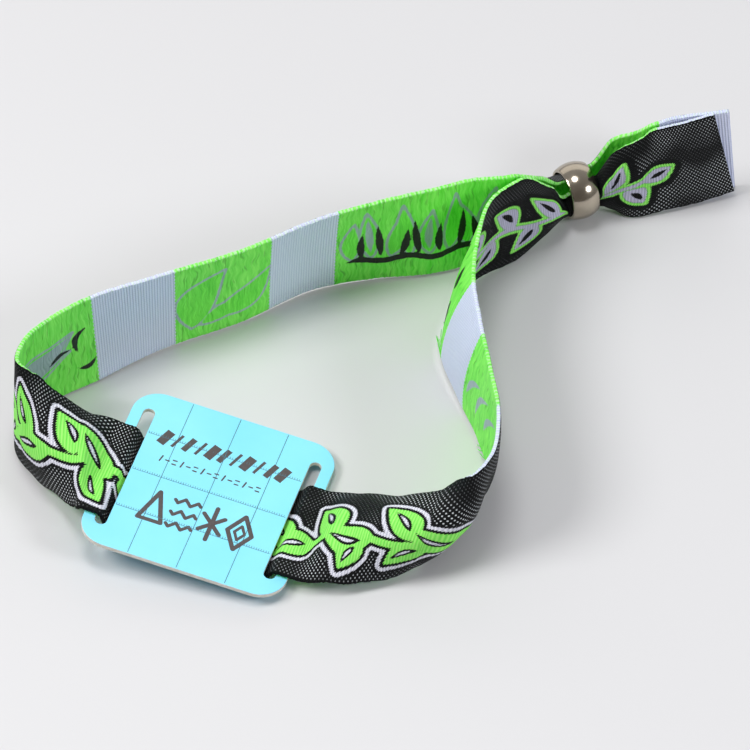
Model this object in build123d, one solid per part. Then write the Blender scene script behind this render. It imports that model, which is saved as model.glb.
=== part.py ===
from build123d import *
from collections import namedtuple
import math
import os

# A woven cloth wristband lying open on a table. One ribbon carries a flat square tag near the
# front, stands on its edge round the back, and both of its ends pass through one round metal bead.
# Millimetres, +Z up, +X to the wearer's right of the tag, +Y towards the back of the loop.
# The origin is under the middle of the whole band, on the table.

# Ribbon
BAND_WIDTH = 20.0
BAND_THICKNESS = 1.0
LOOP_REACH = 80.0
LOOP_DEPTH = 71.5
TAIL_LENGTH = 22.5

# Tag
TAG_LENGTH = 35.0
TAG_WIDTH = 34.5
TAG_THICKNESS = 0.84
TAG_CORNER_RADIUS = 4.8
SLOT_MARGIN = 2.0
SLOT_WIDTH = 2.0
SLOT_SPARE_LENGTH = 6.5
SLOT_CLIMB = 62.0
TAG_TURN = -17.3
TAG_TILT = 7.0
TAG_PITCH = 1.5
RIGHT_SLOT_ASIDE = -2.4
LEFT_SLOT_ASIDE = -2.0

# Bead
BEAD_LENGTH = 5.0
BEAD_WALL = 1.08
BEAD_RIM_WALL = 0.41
BEAD_TURN = 24.0
BORE_EDGE_RADIUS = 0.12

# Clearances
CLOTH_GAP = 0.15
STRAND_GAP = 0.2

# The cloth at the bead: depth of the folds beside it as a share of the ribbon's width, how far the
# strands stay packed past its ends, and the packed strand's width as a share of its half circle's
FOLD_DEPTH = 0.10
PACKED_REACH = 0.45
PACKED_SHARE = 0.98

# Fineness of the cloth
RING_STEP = 2.5
STRIPS_ACROSS = 12
BEND_STEPS = 4

# The two strands fill the bead's hole, so the bead's radii follow from the cloth that goes through it.
PACKED_RADIUS = math.sqrt(2 * BAND_WIDTH * BAND_THICKNESS / math.pi) + STRAND_GAP
PACKED_HALF_WIDTH = PACKED_SHARE * PACKED_RADIUS
BORE_RADIUS = PACKED_RADIUS + CLOTH_GAP
BEAD_RIM_RADIUS = BORE_RADIUS + BEAD_RIM_WALL
BEAD_RADIUS = BORE_RADIUS + BEAD_WALL

# A place on the ribbon: the middle of its section, as shares of the loop's reach (x) and depth (y)
# and of the ribbon's width (z), how far the upper edge leans to +x and +y as shares of the section's
# height, how far its middle bows to the loop's inside (minus is outside) as a share of the ribbon's
# width, and how far it is gathered for the bead (0 is spread, 1 is packed).
Place = namedtuple("Place", "x y z lean_x lean_y bow gather")

RIGHT_SIDE = (
    Place(0.593, 0.506, 0.41, 0.05, -0.05, 0.00, 0.45),
    Place(0.538, 0.438, 0.505, 0.05, 0.02, 0.00, 0.00),
    Place(0.465, 0.369, 0.53, 0.15, 0.03, -0.02, 0.00),
    Place(0.425, 0.234, 0.54, 0.22, 0.00, 0.05, 0.00),
    Place(0.412, 0.131, 0.54, 0.26, -0.02, 0.05, 0.00),
    Place(0.434, -0.003, 0.54, 0.18, -0.03, 0.06, 0.00),
    Place(0.465, -0.140, 0.52, 0.08, -0.07, 0.02, 0.00),
    Place(0.481, -0.280, 0.51, 0.07, -0.11, -0.03, 0.00),
    Place(0.449, -0.380, 0.505, 0.21, -0.16, -0.07, 0.00),
    Place(0.401, -0.447, 0.475, 0.27, -0.03, -0.16, 0.00),
    Place(0.345, -0.470, 0.325, 0.37, 0.53, -0.28, 0.00),
    Place(0.266, -0.478, 0.23, 0.36, 0.85, -0.26, 0.00),
    Place(0.181, -0.466, 0.18, 0.32, 0.94, -0.18, 0.00),
)
LEFT_AND_BACK = (
    Place(-0.357, -0.272, 0.35, 0.11, 0.974, -0.20, 0.00),
    Place(-0.416, -0.226, 0.41, -0.05, 0.73, -0.21, 0.00),
    Place(-0.455, -0.191, 0.46, 0.00, 0.38, -0.12, 0.00),
    Place(-0.492, -0.151, 0.51, 0.03, 0.16, 0.00, 0.00),
    Place(-0.484, -0.074, 0.51, 0.06, 0.07, -0.02, 0.00),
    Place(-0.430, -0.004, 0.51, 0.00, 0.02, 0.02, 0.00),
    Place(-0.350, 0.057, 0.51, -0.04, 0.03, 0.00, 0.00),
    Place(-0.211, 0.140, 0.52, 0.01, -0.07, 0.00, 0.00),
    Place(-0.040, 0.224, 0.52, 0.03, -0.10, 0.00, 0.00),
    Place(0.124, 0.327, 0.53, 0.05, -0.11, -0.02, 0.00),
    Place(0.241, 0.367, 0.53, 0.03, -0.05, -0.02, 0.00),
    Place(0.362, 0.400, 0.52, 0.02, 0.05, 0.02, 0.00),
    Place(0.444, 0.429, 0.52, 0.00, 0.05, 0.00, 0.00),
    Place(0.522, 0.457, 0.505, -0.02, -0.05, 0.00, 0.00),
    Place(0.578, 0.524, 0.42, 0.00, -0.12, 0.00, 0.45),
)
TAG_CENTRE = (-0.100, -0.3325)
BEAD_CENTRE = (0.667, 0.600)

# A place on a loose end: how far along from the bead and aside to the back, as shares of the end's
# length, its height as a share of the ribbon's width, and the same leans, bow and gather.
TailPlace = namedtuple("TailPlace", "along aside z lean_x lean_y bow gather")

FRONT_TAIL = (
    TailPlace(0.96, -0.320, 0.55, -0.21, -0.02, 0.00, 0.00),
    TailPlace(0.66, -0.285, 0.52, -0.18, 0.00, -0.02, 0.00),
    TailPlace(0.42, -0.262, 0.525, -0.06, 0.02, 0.00, 0.00),
    TailPlace(0.28, -0.212, 0.46, 0.06, 0.07, 0.00, 0.15),
    TailPlace(0.16, -0.105, 0.385, 0.00, 0.00, 0.00, 0.45),
)
BACK_TAIL = (
    TailPlace(0.16, -0.025, 0.385, 0.00, 0.00, 0.00, 0.45),
    TailPlace(0.28, -0.105, 0.45, 0.09, 0.00, 0.00, 0.22),
    TailPlace(0.42, -0.174, 0.505, 0.00, 0.00, 0.00, 0.00),
    TailPlace(0.66, -0.200, 0.505, -0.13, 0.00, 0.00, 0.00),
    TailPlace(1.05, -0.274, 0.505, -0.09, -0.045, 0.00, 0.00),
)

# One ring of the ribbon: its middle, its direction of travel, the way to its upper edge, and the
# bow and gather of its section.
Ring = namedtuple("Ring", "middle travel across bow gather")


def heading(angle):
    return Vector(math.cos(math.radians(angle)), math.sin(math.radians(angle)), 0)


def leaning(lean_x, lean_y):
    upright = math.sqrt(max(0.0, 1 - lean_x**2 - lean_y**2))
    return Vector(lean_x, lean_y, upright).normalized()


def ring_at(place):
    """The ring of one place of the loop."""
    middle = Vector(place.x * LOOP_REACH, place.y * LOOP_DEPTH, place.z * BAND_WIDTH)
    return Ring(middle, None, leaning(place.lean_x, place.lean_y), place.bow, place.gather)


def tail_ring_at(place):
    """The ring of one place of a loose end."""
    along = BEAD_LENGTH / 2 + place.along * TAIL_LENGTH
    level = bead_axis_point(along) + BEAD_ASIDE * (place.aside * TAIL_LENGTH)
    middle = Vector(level.X, level.Y, place.z * BAND_WIDTH)
    return Ring(middle, None, leaning(place.lean_x, place.lean_y), place.bow, place.gather)


# The bead lies on the table with its hole level.
BEAD_AXIS = heading(BEAD_TURN)
BEAD_ASIDE = heading(BEAD_TURN + 90)


def bead_axis_point(along):
    centre = Vector(BEAD_CENTRE[0] * LOOP_REACH, BEAD_CENTRE[1] * LOOP_DEPTH, BEAD_RADIUS)
    return centre + BEAD_AXIS * along


def bead_ring(along, side):
    """A packed ring in the bead: side is -1 for the front strand and 1 for the back one."""
    off_axis = (BAND_THICKNESS + STRAND_GAP) / 2
    middle = bead_axis_point(along) + BEAD_ASIDE * (side * off_axis)
    return Ring(middle, BEAD_AXIS * side, Vector(0, 0, 1), 0.0, 1.0)


# The tag is turned, tilted down to the right and pitched up towards the front as one plane, and the
# ribbon crosses it in that plane.
TAG_ASIDE = (heading(TAG_TURN + 90) * math.cos(math.radians(TAG_PITCH))
             - Vector(0, 0, math.sin(math.radians(TAG_PITCH))))
TAG_UP = (heading(TAG_TURN) - Vector(0, 0, math.tan(math.radians(TAG_TILT)))).cross(TAG_ASIDE).normalized()
TAG_ALONG = TAG_ASIDE.cross(TAG_UP)
RIBBON_OFFSET = (TAG_THICKNESS + BAND_THICKNESS) / 2 + CLOTH_GAP
BEND_RADIUS = BAND_THICKNESS
SLOT_CENTRE = TAG_LENGTH / 2 - SLOT_MARGIN - SLOT_WIDTH / 2
SLOT_ASIDE = {1: RIGHT_SLOT_ASIDE, -1: LEFT_SLOT_ASIDE}


def tag_height():
    """Height of the tag's middle, with the ribbon under its lower slot just on the table."""
    slot_drop = (SLOT_CENTRE + SLOT_WIDTH) * math.sin(math.radians(TAG_TILT))
    return slot_drop + RIBBON_OFFSET + BAND_THICKNESS / 2


def tag_point(along, aside, up):
    centre = Vector(TAG_CENTRE[0] * LOOP_REACH, TAG_CENTRE[1] * LOOP_DEPTH, tag_height())
    return centre + TAG_ALONG * along + TAG_ASIDE * aside + TAG_UP * up


def slot_climb():
    """Half of the ribbon's way up through a slot, from the slot's middle: (along, up, angle) points."""
    climb = math.radians(SLOT_CLIMB)
    arc_rise = BEND_RADIUS * (1 - math.cos(climb))
    straight = (RIBBON_OFFSET - arc_rise) / math.sin(climb)
    start_along = straight * math.cos(climb)
    start_up = straight * math.sin(climb)
    points = []
    for step in range(BEND_STEPS + 1):
        angle = climb * (1 - step / BEND_STEPS)
        along = start_along + BEND_RADIUS * (math.sin(climb) - math.sin(angle))
        up = start_up + BEND_RADIUS * (math.cos(angle) - math.cos(climb))
        points.append((along, up, angle))
    return points


def tag_crossing():
    """Rings of the ribbon from above the right margin, under the tag, to above the left margin."""
    half = slot_climb()
    lower = [(-along, -up, angle) for along, up, angle in half]
    slot_path = list(reversed(half)) + lower
    rings = []
    for side, path in ((1, slot_path), (-1, list(reversed(slot_path)))):
        for along, up, angle in path:
            middle = tag_point(side * (SLOT_CENTRE + along), SLOT_ASIDE[side], up)
            travel = TAG_ALONG * -math.cos(angle) - TAG_UP * (side * math.sin(angle))
            rings.append(Ring(middle, travel, TAG_ASIDE, 0.0, 0.0))
    return rings


def margin_ring(side):
    """The ribbon just past the tag's edge, still in the plane above it."""
    middle = tag_point(side * (TAG_LENGTH / 2 + BAND_THICKNESS / 2), SLOT_ASIDE[side], RIBBON_OFFSET)
    return Ring(middle, TAG_ALONG * -1, TAG_ASIDE, 0.0, 0.0)


def blend(first, second, share):
    return first * (1 - share) + second * share


def slope(before, after, gap_before, gap_after, value):
    """Slope of a smooth curve at a ring from its two neighbours, weighted to the nearer one."""
    rise_before = (value - before) * (1 / gap_before)
    rise_after = (after - value) * (1 / gap_after)
    return (rise_before * gap_after + rise_after * gap_before) * (1 / (gap_before + gap_after))


def spread(rings):
    """Rings every RING_STEP along one smooth curve through the given rings."""
    gaps = [(b.middle - a.middle).length for a, b in zip(rings, rings[1:])]
    count = len(rings)
    slopes = []
    for i, ring in enumerate(rings):
        if ring.travel is not None:
            middle_slope = ring.travel.normalized()
        elif 0 < i < count - 1:
            middle_slope = slope(rings[i - 1].middle, rings[i + 1].middle, gaps[i - 1], gaps[i], ring.middle)
        elif i == 0:
            middle_slope = (rings[1].middle - ring.middle) * (1 / gaps[0])
        else:
            middle_slope = (ring.middle - rings[i - 1].middle) * (1 / gaps[-1])
        if 0 < i < count - 1:
            across_slope = slope(rings[i - 1].across, rings[i + 1].across, gaps[i - 1], gaps[i], ring.across)
        else:
            across_slope = Vector(0, 0, 0)
        slopes.append((middle_slope, across_slope))
    result = []
    for i, gap in enumerate(gaps):
        steps = max(1, round(gap / RING_STEP))
        for step in range(steps + (i == len(gaps) - 1)):
            result.append(between(rings[i], rings[i + 1], slopes[i], slopes[i + 1], gap, step / steps))
    return result


def between(first, second, first_slopes, second_slopes, gap, share):
    """The ring at a share of the way from one ring to the next on their cubic curve."""
    s2 = share**2
    s3 = share**3
    keep, move = 2 * s3 - 3 * s2 + 1, 3 * s2 - 2 * s3
    leave, arrive = (s3 - 2 * s2 + share) * gap, (s3 - s2) * gap
    middle = (first.middle * keep + second.middle * move
              + first_slopes[0] * leave + second_slopes[0] * arrive)
    across = (first.across * keep + second.across * move
              + first_slopes[1] * leave + second_slopes[1] * arrive)
    travel = (first.middle * (6 * s2 - 6 * share) + second.middle * (6 * share - 6 * s2)
              + first_slopes[0] * ((3 * s2 - 4 * share + 1) * gap)
              + second_slopes[0] * ((3 * s2 - 2 * share) * gap))
    bow = blend(first.bow, second.bow, move)
    gather = blend(first.gather, second.gather, share)
    return Ring(middle, travel.normalized(), across.normalized(), bow, gather)


def bowed_chord(bow):
    """Straight width of a bowed ribbon: an arc's length is its chord plus 8/3 of bow squared over it."""
    return (BAND_WIDTH + math.sqrt(BAND_WIDTH**2 - 32 / 3 * bow**2)) / 2


def outline(ring):
    """The section's points: up its inner face from edge to edge, then down its outer face."""
    inward = ring.travel.cross(ring.across).normalized()
    half = BAND_THICKNESS / 2
    bow = ring.bow * BAND_WIDTH
    chord = bowed_chord(bow)
    pleat = FOLD_DEPTH * BAND_WIDTH * 4 * ring.gather * (1 - ring.gather)
    inner, outer = [], []
    for i in range(STRIPS_ACROSS + 1):
        share = 2 * i / STRIPS_ACROSS - 1
        fold = pleat * (1 - math.cos(2 * math.pi * share)) / 2
        rise = bow * (1 - share**2) - fold
        tilt = math.atan2(-2 * bow * share, chord / 2)
        flat = share * chord / 2
        packed = PACKED_HALF_WIDTH * math.sin(share * math.pi / 2)
        depth = math.sqrt(PACKED_RADIUS**2 - packed**2) - STRAND_GAP / 2
        inner_up = blend(flat - half * math.sin(tilt), packed, ring.gather)
        outer_up = blend(flat + half * math.sin(tilt), packed, ring.gather)
        inner_in = rise + blend(half * math.cos(tilt), half, ring.gather)
        outer_in = rise + blend(-half * math.cos(tilt), half - depth, ring.gather)
        inner.append(ring.middle + ring.across * inner_up + inward * inner_in)
        outer.append(ring.middle + ring.across * outer_up + inward * outer_in)
    return inner + outer[::-1]


def skin(outlines):
    """A closed solid of flat triangles over a row of outlines."""
    faces = []
    count = len(outlines[0])
    for first, second in zip(outlines, outlines[1:]):
        for i in range(count):
            j = (i + 1) % count
            faces.append(triangle(first[i], first[j], second[j]))
            faces.append(triangle(first[i], second[j], second[i]))
    faces += end_faces(outlines[0]) + end_faces(outlines[-1])
    return Solid(Shell(faces))


def triangle(a, b, c):
    return Face(Wire.make_polygon([a, b, c], close=True))


def end_faces(points):
    """Triangles that close one end, in strips from face to face."""
    count = len(points)
    faces = []
    for i in range(STRIPS_ACROSS):
        inner, next_inner = points[i], points[i + 1]
        outer, next_outer = points[count - 1 - i], points[count - 2 - i]
        faces.append(triangle(inner, next_inner, next_outer))
        faces.append(triangle(inner, next_outer, outer))
    return faces


def band_rings():
    """Every ring of the ribbon, from the front loose end to the back one."""
    mouth = BEAD_LENGTH / 2 + PACKED_REACH
    front_tail = spread([tail_ring_at(p) for p in FRONT_TAIL] + [bead_ring(mouth, -1)])
    right_side = spread([bead_ring(-mouth, -1)] + [ring_at(p) for p in RIGHT_SIDE] + [margin_ring(1)])
    back = spread([margin_ring(-1)] + [ring_at(p) for p in LEFT_AND_BACK] + [bead_ring(-mouth, 1)])
    back_tail = spread([bead_ring(mouth, 1)] + [tail_ring_at(p) for p in BACK_TAIL])
    return front_tail + right_side + tag_crossing() + back + back_tail


def woven_band():
    return skin([outline(ring) for ring in band_rings()])


def rfid_tag():
    """The flat square tag with a round-ended slot along each side."""
    plate = Plane(origin=tag_point(0, 0, -TAG_THICKNESS / 2), x_dir=TAG_ALONG, z_dir=TAG_UP)
    slot_length = BAND_WIDTH + SLOT_SPARE_LENGTH
    with BuildPart() as tag:
        with BuildSketch(plate):
            RectangleRounded(TAG_LENGTH, TAG_WIDTH, TAG_CORNER_RADIUS)
            with Locations((SLOT_CENTRE, 0), (-SLOT_CENTRE, 0)):
                SlotOverall(slot_length, SLOT_WIDTH, rotation=90, mode=Mode.SUBTRACT)
        extrude(amount=TAG_THICKNESS)
    return tag.part.solid()


def bead_slider():
    """The bead: a barrel with a wide straight hole, its ends nearly as wide as its middle."""
    half = BEAD_LENGTH / 2
    rim = BEAD_RIM_RADIUS
    with BuildPart() as bead:
        with BuildSketch(Plane(origin=bead_axis_point(0), x_dir=BEAD_AXIS, z_dir=BEAD_ASIDE * -1)):
            with BuildLine():
                ThreePointArc((-half, rim), (0, BEAD_RADIUS), (half, rim))
                Polyline((half, rim), (half, BORE_RADIUS), (-half, BORE_RADIUS), (-half, rim))
            make_face()
        revolve(axis=Axis(bead_axis_point(0), BEAD_AXIS))
        bore_edges = bead.edges().filter_by(GeomType.CIRCLE).group_by(lambda e: round(e.radius, 3))[0]
        fillet(bore_edges, BORE_EDGE_RADIUS)
    return bead.part.solid()


def main():
    parts = {"woven_band": woven_band(), "rfid_tag": rfid_tag(), "bead_slider": bead_slider()}
    box = Compound(list(parts.values())).bounding_box()
    to_origin = Vector(-(box.min.X + box.max.X) / 2, -(box.min.Y + box.max.Y) / 2, -box.min.Z)
    os.makedirs("parts", exist_ok=True)
    for name, solid in parts.items():
        export_step(solid.moved(Location(to_origin)), f"parts/{name}.step")


main()
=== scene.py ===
from collections import namedtuple
import math
import random

import bmesh
import bpy
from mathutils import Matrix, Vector
import numpy as np


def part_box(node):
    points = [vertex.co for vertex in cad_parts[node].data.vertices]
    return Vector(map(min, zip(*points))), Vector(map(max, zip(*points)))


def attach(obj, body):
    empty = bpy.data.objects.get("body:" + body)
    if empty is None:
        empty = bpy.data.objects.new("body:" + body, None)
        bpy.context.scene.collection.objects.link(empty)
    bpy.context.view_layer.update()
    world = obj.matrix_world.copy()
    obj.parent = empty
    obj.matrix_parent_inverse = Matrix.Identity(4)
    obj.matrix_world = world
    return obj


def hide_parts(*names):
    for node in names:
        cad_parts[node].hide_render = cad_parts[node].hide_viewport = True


# Lengths in the tables are millimetres; meshes are written in metres.
MM = 0.001

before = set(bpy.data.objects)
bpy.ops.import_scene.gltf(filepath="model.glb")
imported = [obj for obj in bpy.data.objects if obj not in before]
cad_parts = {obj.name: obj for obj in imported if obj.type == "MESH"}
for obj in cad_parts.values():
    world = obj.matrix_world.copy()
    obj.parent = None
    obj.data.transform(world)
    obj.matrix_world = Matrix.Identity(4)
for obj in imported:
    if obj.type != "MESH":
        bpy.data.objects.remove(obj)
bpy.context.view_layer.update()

# Ribbon
BAND_WIDTH = 20.0
CLOTH_THICKNESS = 0.7
SOLID_THICKNESS = 1.0
LOOP_REACH = 80.0
LOOP_DEPTH = 71.5
TAIL_LENGTH = 22.5

# Tag
TAG_LENGTH = 35.0
TAG_WIDTH = 34.5
TAG_THICKNESS = 0.84
TAG_CORNER_RADIUS = 4.8
SLOT_MARGIN = 2.0
SLOT_WIDTH = 2.0
SLOT_LENGTH = 26.5
SLOT_CLIMB = 62.0
TAG_TURN = -17.3
TAG_TILT = 7.0
TAG_PITCH = 1.5
RIGHT_SLOT_ASIDE = -2.4
LEFT_SLOT_ASIDE = -2.0
TAG_CENTRE = (-0.100, -0.3325)

# Bead
BEAD_LENGTH = 5.0
BEAD_TURN = 24.0
BEAD_CENTRE = (0.667, 0.600)
CLOTH_GAP = 0.15
STRAND_GAP = 0.2
PACKED_REACH = 0.45
PACKED_RADIUS = math.sqrt(2 * BAND_WIDTH * SOLID_THICKNESS / math.pi) + STRAND_GAP
BORE_RADIUS = PACKED_RADIUS + CLOTH_GAP
BEAD_RIM_RADIUS = BORE_RADIUS + 0.41
BEAD_RADIUS = BORE_RADIUS + 1.08

# Fineness of the cloth mesh; the edge points' share of half the ribbon's width
RING_STEP = 0.37
OUTER_CELLS = 54
INNER_CELLS = 38
PLEAT_SWELL = 1.6
EDGE_SHARE = 0.972

# The ribbon's places: middle of the section as shares of the loop's reach, its depth and the ribbon's
# width, lean of the upper edge to +x and +y, bow of the section and how far it is gathered.
Place = namedtuple("Place", "x y z lean_x lean_y bow gather", defaults=(0.0, 0.0))

RIGHT_SIDE = (
    Place(0.593, 0.506, 0.41, 0.05, -0.05, 0.00, 0.45),
    Place(0.538, 0.438, 0.505, 0.05, 0.02),
    Place(0.465, 0.369, 0.53, 0.15, 0.03, -0.02),
    Place(0.425, 0.234, 0.54, 0.22, 0.00, 0.05),
    Place(0.412, 0.131, 0.54, 0.26, -0.02, 0.05),
    Place(0.434, -0.003, 0.54, 0.18, -0.03, 0.06),
    Place(0.465, -0.140, 0.52, 0.08, -0.07, 0.02),
    Place(0.481, -0.280, 0.51, 0.07, -0.11, -0.03),
    Place(0.449, -0.380, 0.505, 0.21, -0.16, -0.07),
    Place(0.401, -0.447, 0.475, 0.27, -0.03, -0.16),
    Place(0.345, -0.470, 0.325, 0.37, 0.53, -0.28),
    Place(0.266, -0.478, 0.23, 0.36, 0.85, -0.26),
    Place(0.181, -0.466, 0.18, 0.32, 0.94, -0.18),
)
LEFT_AND_BACK = (
    Place(-0.357, -0.272, 0.35, 0.11, 0.974, -0.20),
    Place(-0.416, -0.226, 0.41, -0.05, 0.73, -0.21),
    Place(-0.455, -0.191, 0.46, 0.00, 0.38, -0.12),
    Place(-0.492, -0.151, 0.51, 0.03, 0.16),
    Place(-0.484, -0.074, 0.51, 0.06, 0.07, -0.02),
    Place(-0.430, -0.004, 0.51, 0.00, 0.02, 0.02),
    Place(-0.350, 0.057, 0.51, -0.04, 0.03),
    Place(-0.211, 0.140, 0.52, 0.01, -0.07),
    Place(-0.040, 0.224, 0.52, 0.03, -0.10),
    Place(0.124, 0.327, 0.53, 0.05, -0.11, -0.02),
    Place(0.241, 0.367, 0.53, 0.03, -0.05, -0.02),
    Place(0.362, 0.400, 0.52, 0.02, 0.05, 0.02),
    Place(0.444, 0.429, 0.52, 0.00, 0.05),
    Place(0.522, 0.457, 0.505, -0.02, -0.05),
    Place(0.578, 0.524, 0.42, 0.00, -0.12, 0.00, 0.45),
)

# The loose ends' places: along from the bead and aside to the back, as shares of the end's length.
TailPlace = namedtuple("TailPlace", "along aside z lean_x lean_y bow gather", defaults=(0.0, 0.0))

FRONT_TAIL = (
    TailPlace(0.96, -0.320, 0.55, -0.21, -0.02),
    TailPlace(0.66, -0.285, 0.52, -0.18, 0.00, -0.02),
    TailPlace(0.42, -0.262, 0.525, -0.06, 0.02),
    TailPlace(0.28, -0.212, 0.46, 0.06, 0.07, 0.00, 0.15),
    TailPlace(0.16, -0.105, 0.385, 0.00, 0.00, 0.00, 0.45),
)
BACK_TAIL = (
    TailPlace(0.16, -0.025, 0.385, 0.00, 0.00, 0.00, 0.45),
    TailPlace(0.28, -0.105, 0.45, 0.09, 0.00, 0.00, 0.22),
    TailPlace(0.42, -0.174, 0.505, 0.00, 0.00),
    TailPlace(0.66, -0.200, 0.505, -0.13, 0.00),
    TailPlace(1.05, -0.274, 0.505, -0.09, -0.045),
)

# The pleated section at the bead's two mouths: shares of half the ribbon's width, from its lower edge up,
# and at each of them the height over the hole's axis and the distance from it, away from the other strand.
PLEAT_SHARES = (-1.0, -0.6, -0.2, 0.2, 0.6, 1.0)
PLEATS = (
    # front strand: right mouth, left mouth
    ((-3.2, 1.2), (-2.5, 2.4), (-1.0, 2.5), (0.8, 3.1), (2.1, 2.0), (2.8, 0.7)),
    ((-3.1, 1.5), (-2.5, 2.4), (-1.4, 3.1), (-0.5, 2.4), (0.4, 1.3), (1.2, 1.6)),
    # back strand: left mouth, right mouth
    ((-3.2, 0.9), (-2.3, 2.4), (-0.6, 3.2), (1.3, 3.0), (2.8, 1.6), (3.3, -0.2)),
    ((-3.2, 0.9), (-2.5, 2.0), (-1.2, 2.8), (0.5, 2.8), (1.9, 2.3), (3.1, 1.6)),
)

# One ring of the ribbon: its middle, direction of travel, way to its upper edge, bow and gather.
Ring = namedtuple("Ring", "middle travel across bow gather")


def unit(vector):
    return vector / np.linalg.norm(vector)


def heading(angle):
    return np.array([math.cos(math.radians(angle)), math.sin(math.radians(angle)), 0.0])


def leaning(lean_x, lean_y):
    upright = math.sqrt(max(0.0, 1 - lean_x**2 - lean_y**2))
    return unit(np.array([lean_x, lean_y, upright]))


BEAD_AXIS = heading(BEAD_TURN)
BEAD_ASIDE = heading(BEAD_TURN + 90)
UP = np.array([0.0, 0.0, 1.0])

PITCH, TILT = math.radians(TAG_PITCH), math.radians(TAG_TILT)
TAG_ASIDE = heading(TAG_TURN + 90) * math.cos(PITCH) - UP * math.sin(PITCH)
TAG_UP = unit(np.cross(heading(TAG_TURN) - UP * math.tan(TILT), TAG_ASIDE))
TAG_ALONG = np.cross(TAG_ASIDE, TAG_UP)
RIBBON_OFFSET = (TAG_THICKNESS + SOLID_THICKNESS) / 2 + CLOTH_GAP
SLOT_CENTRE = TAG_LENGTH / 2 - SLOT_MARGIN - SLOT_WIDTH / 2
SLOT_ASIDE = {1: RIGHT_SLOT_ASIDE, -1: LEFT_SLOT_ASIDE}
TAG_HEIGHT = (SLOT_CENTRE + SLOT_WIDTH) * math.sin(TILT) + RIBBON_OFFSET + SOLID_THICKNESS / 2


def bead_point(along):
    centre = np.array([BEAD_CENTRE[0] * LOOP_REACH, BEAD_CENTRE[1] * LOOP_DEPTH, BEAD_RADIUS])
    return centre + BEAD_AXIS * along


def tag_point(along, aside, up):
    centre = np.array([TAG_CENTRE[0] * LOOP_REACH, TAG_CENTRE[1] * LOOP_DEPTH, TAG_HEIGHT])
    return centre + TAG_ALONG * along + TAG_ASIDE * aside + TAG_UP * up


def laid_ring(x, y, place):
    middle = np.array([x, y, place.z * BAND_WIDTH])
    return Ring(middle, None, leaning(place.lean_x, place.lean_y), place.bow, place.gather)


def ring_at(place):
    return laid_ring(place.x * LOOP_REACH, place.y * LOOP_DEPTH, place)


def tail_ring_at(place):
    level = bead_point(BEAD_LENGTH / 2 + place.along * TAIL_LENGTH)
    level = level + BEAD_ASIDE * (place.aside * TAIL_LENGTH)
    return laid_ring(level[0], level[1], place)


def bead_ring(along, side):
    off_axis = (SOLID_THICKNESS + STRAND_GAP) / 2
    return Ring(bead_point(along) + BEAD_ASIDE * (side * off_axis), BEAD_AXIS * side, UP, 0.0, 1.0)


def margin_ring(side):
    middle = tag_point(side * (TAG_LENGTH / 2 + SOLID_THICKNESS / 2), SLOT_ASIDE[side], RIBBON_OFFSET)
    return Ring(middle, TAG_ALONG * -1, TAG_ASIDE, 0.0, 0.0)


def tag_crossing():
    """Rings from above the right margin, down a slot, under the tag and up to above the left margin."""
    climb = math.radians(SLOT_CLIMB)
    bend = SOLID_THICKNESS
    straight = (RIBBON_OFFSET - bend * (1 - math.cos(climb))) / math.sin(climb)
    half = []
    steps = 6
    for step in range(steps + 1):
        angle = climb * (1 - step / steps)
        along = straight * math.cos(climb) + bend * (math.sin(climb) - math.sin(angle))
        up = straight * math.sin(climb) + bend * (math.cos(angle) - math.cos(climb))
        half.append((along, up, angle))
    slot_path = list(reversed(half)) + [(-along, -up, angle) for along, up, angle in half]
    rings = []
    for side, path in ((1, slot_path), (-1, list(reversed(slot_path)))):
        for along, up, angle in path:
            middle = tag_point(side * (SLOT_CENTRE + along), SLOT_ASIDE[side], up)
            travel = TAG_ALONG * -math.cos(angle) - TAG_UP * (side * math.sin(angle))
            rings.append(Ring(middle, travel, TAG_ASIDE, 0.0, 0.0))
    return rings


def slope(rings, gaps, i, name):
    """Slope of one of the rings' values at a ring between two others, weighted to the nearer one."""
    before, here, after = [getattr(ring, name) for ring in rings[i - 1:i + 2]]
    rise_before = (here - before) / gaps[i - 1]
    rise_after = (after - here) / gaps[i]
    return (rise_before * gaps[i] + rise_after * gaps[i - 1]) / (gaps[i - 1] + gaps[i])


def spread(rings):
    """Rings every RING_STEP along one smooth curve through the given rings."""
    gaps = [float(np.linalg.norm(b.middle - a.middle)) for a, b in zip(rings, rings[1:])]
    slopes = []
    for i, ring in enumerate(rings):
        inside = 0 < i < len(rings) - 1
        if ring.travel is not None:
            middle_slope = unit(ring.travel)
        elif inside:
            middle_slope = slope(rings, gaps, i, "middle")
        elif i == 0:
            middle_slope = (rings[1].middle - ring.middle) / gaps[0]
        else:
            middle_slope = (ring.middle - rings[i - 1].middle) / gaps[-1]
        across_slope = slope(rings, gaps, i, "across") if inside else np.zeros(3)
        gather_slope = slope(rings, gaps, i, "gather") if inside and 0 < ring.gather < 1 else 0.0
        slopes.append((middle_slope, across_slope, gather_slope))
    result = []
    for i, gap in enumerate(gaps):
        steps = max(1, round(gap / RING_STEP))
        for step in range(steps + (i == len(gaps) - 1)):
            result.append(between(rings[i], rings[i + 1], slopes[i], slopes[i + 1], gap, step / steps))
    return result


def cubic(share, first, second, leave, arrive):
    """A value at a share of the way between two others, from its slopes at both, on their cubic curve."""
    s2, s3 = share**2, share**3
    return (first * (2 * s3 - 3 * s2 + 1) + second * (3 * s2 - 2 * s3)
            + leave * (s3 - 2 * s2 + share) + arrive * (s3 - s2))


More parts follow.
